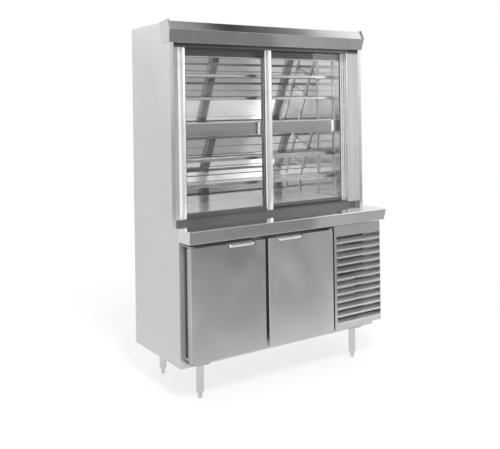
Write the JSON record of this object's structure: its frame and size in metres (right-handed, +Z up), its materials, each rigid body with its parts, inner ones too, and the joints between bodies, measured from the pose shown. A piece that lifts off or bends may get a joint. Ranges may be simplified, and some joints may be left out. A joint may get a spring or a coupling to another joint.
{
  "type": "refrigerated display case",
  "caption": "Free-standing stainless steel refrigerated display case with sliding glass doors and wire shelves over a cupboard, service ledge and slatted machine grille.",
  "frame": {"origin": "on the floor under the middle of the whole case", "axes": "+X to the right as the customer faces it, +Y to the back, +Z up"},
  "size_m": [1.241, 0.6144, 1.8266],
  "materials": {
    "satin_steel": "satin",
    "polished_steel": "polished",
    "chrome_wire": "polished",
    "aluminium": "satin",
    "galvanised_steel": "dull",
    "clear_glass": "clear",
    "lamp_glass": "opal",
    "mirror_glass": "mirror",
    "seal_rubber": "matte",
    "black_paint": "semi-gloss",
    "copper_tube": "dull",
    "white_plastic": "gloss",
    "grey_plastic": "matte",
    "black_plastic": "gloss"
  },
  "bodies": {
    "cabinet": {"base_back": "satin_steel", "base_floor": "satin_steel", "base_side_left": "satin_steel", "base_side_right": "satin_steel", "base_top_panel": "satin_steel", "bottom_track": "aluminium", "case_back": "satin_steel", "case_roof": "satin_steel", "case_side_left": "satin_steel", "case_side_right": "satin_steel", "compartment_divider": "satin_steel", "compressor": "black_paint", "condenser_coil": "aluminium", "condenser_fan_motor": "black_paint", "control_box": "grey_plastic", "cupboard_shelves": "chrome_wire", "display_deck": "satin_steel", "display_shelves": "chrome_wire", "door_channels": "satin_steel", "door_frame_posts": "satin_steel", "door_frame_rails": "satin_steel", "evaporator_coil": "aluminium", "evaporator_housing": "polished_steel", "fan_shroud": "galvanised_steel", "filter_drier": "black_paint", "grille_blades": "polished_steel", "grille_frame": "polished_steel", "hinge_brackets": "satin_steel", "hood_ends": "polished_steel", "hood_fascia": "polished_steel", "lamp_holders": "white_plastic", "lamp_tube": "lamp_glass", "lamp_valance": "black_paint", "legs": "polished_steel", "machine_rear_panel": "galvanised_steel", "mirrors": "mirror_glass", "refrigerant_lines": "copper_tube", "service_ledge": "polished_steel", "shelf_standards": "aluminium", "top_track": "aluminium", "unit_tray": "galvanised_steel"},
    "door_left": {"door_left_shell": "satin_steel", "door_left_liner": "aluminium", "door_left_gasket": "seal_rubber", "door_left_pull": "chrome_wire"},
    "door_right": {"door_right_shell": "satin_steel", "door_right_liner": "aluminium", "door_right_gasket": "seal_rubber", "door_right_pull": "chrome_wire"},
    "slider_left": {"slider_left_frame": "aluminium", "slider_left_glass": "clear_glass"},
    "slider_right": {"slider_right_frame": "aluminium", "slider_right_glass": "clear_glass"},
    "fan": {"condenser_fan": "aluminium"},
    "knob": {"thermostat_knob": "black_plastic"},
    "rocker": {"lamp_rocker": "black_plastic"},
    "foot_front_left_body": {"foot_front_left": "polished_steel"},
    "foot_front_right_body": {"foot_front_right": "polished_steel"},
    "foot_rear_left_body": {"foot_rear_left": "polished_steel"},
    "foot_rear_right_body": {"foot_rear_right": "polished_steel"}
  },
  "joints": [
    {"name": "door_left_hinge", "type": "hinge", "parent": "cabinet", "child": "door_left", "pos_m": [-0.5755, -0.2448, 0.474], "axis": [0, 0, -1], "range_deg": [0, 100]},
    {"name": "door_right_hinge", "type": "hinge", "parent": "cabinet", "child": "door_right", "pos_m": [0.2645, -0.2448, 0.474], "axis": [0, 0, 1], "range_deg": [0, 100]},
    {"name": "slider_left_slide", "type": "slide", "parent": "cabinet", "child": "slider_left", "axis": [1, 0, 0], "range_m": [0, 0.515]},
    {"name": "slider_right_slide", "type": "slide", "parent": "cabinet", "child": "slider_right", "axis": [-1, 0, 0], "range_m": [0, 0.515]},
    {"name": "fan_spin", "type": "hinge", "parent": "cabinet", "child": "fan", "pos_m": [0.415, -0.0418, 0.308], "axis": [0, 1, 0], "continuous": true},
    {"name": "knob_turn", "type": "hinge", "parent": "cabinet", "child": "knob", "pos_m": [0.3185, -0.1828, 0.623], "axis": [0, 1, 0], "range_deg": [0, 270]},
    {"name": "rocker_tilt", "type": "hinge", "parent": "cabinet", "child": "rocker", "pos_m": [0.3713, -0.1772, 0.623], "axis": [-1, 0, 0], "range_deg": [0, 20]},
    {"name": "foot_front_left_screw", "type": "slide", "parent": "cabinet", "child": "foot_front_left_body", "axis": [0, 0, -1], "range_m": [0, 0.02]},
    {"name": "foot_front_right_screw", "type": "slide", "parent": "cabinet", "child": "foot_front_right_body", "axis": [0, 0, -1], "range_m": [0, 0.02]},
    {"name": "foot_rear_left_screw", "type": "slide", "parent": "cabinet", "child": "foot_rear_left_body", "axis": [0, 0, -1], "range_m": [0, 0.02]},
    {"name": "foot_rear_right_screw", "type": "slide", "parent": "cabinet", "child": "foot_rear_right_body", "axis": [0, 0, -1], "range_m": [0, 0.02]}
  ]
}
